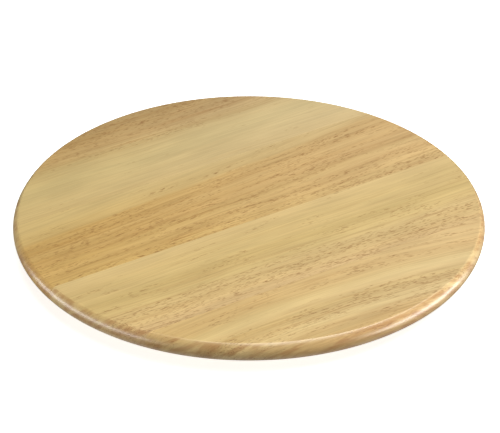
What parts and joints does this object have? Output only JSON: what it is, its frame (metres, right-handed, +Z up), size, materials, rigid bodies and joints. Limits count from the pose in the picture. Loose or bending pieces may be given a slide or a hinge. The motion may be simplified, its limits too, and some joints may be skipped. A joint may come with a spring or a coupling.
{
  "type": "lazy susan turntable",
  "caption": "Round wooden serving board, glued up from wide staves, that spins on a low aluminium ball-bearing ring with rubber feet.",
  "frame": {"origin": "on the spin axis, at the level of the feet's lower faces", "axes": "+Z up along the spin axis, +X along the grain of the staves at rest, +Y across the staves"},
  "size_m": [0.39, 0.39, 0.032],
  "materials": {
    "board_stave_1": "sanded rubberwood under clear satin lacquer",
    "board_stave_2": "sanded rubberwood under clear satin lacquer",
    "board_stave_3": "sanded rubberwood under clear satin lacquer",
    "board_stave_4": "sanded rubberwood under clear satin lacquer",
    "board_stave_5": "sanded rubberwood under clear satin lacquer",
    "ring_aluminium": "turned and satin anodised",
    "zinc_steel": "bright zinc plate",
    "ball_steel": "polished hardened steel",
    "spacer_nylon": "natural nylon",
    "foot_rubber": "moulded black rubber"
  },
  "bodies": {
    "base": {"base_ring": "ring_aluminium", "filler_plug": "zinc_steel", "foot_1": "foot_rubber", "foot_2": "foot_rubber", "foot_3": "foot_rubber", "foot_4": "foot_rubber", "foot_5": "foot_rubber", "foot_6": "foot_rubber", "foot_washers": "zinc_steel", "foot_screws": "zinc_steel"},
    "turntable": {"board_stave_1": "board_stave_1", "board_stave_2": "board_stave_2", "board_stave_3": "board_stave_3", "board_stave_4": "board_stave_4", "board_stave_5": "board_stave_5", "swivel_ring": "ring_aluminium", "ring_screws": "zinc_steel"},
    "ball_train": {"bearing_balls": "ball_steel", "ball_spacers": "spacer_nylon"}
  },
  "joints": [
    {"name": "board_spin", "type": "hinge", "parent": "base", "child": "turntable", "pos_m": [0, 0, 0.0108], "axis": [0, 0, 1], "continuous": true},
    {"name": "ball_orbit", "type": "hinge", "parent": "base", "child": "ball_train", "pos_m": [0, 0, 0.0108], "axis": [0, 0, 1], "continuous": true}
  ],
  "couplings": [
    {"joint": "ball_orbit", "follows": "board_spin", "ratio": 0.4882}
  ]
}
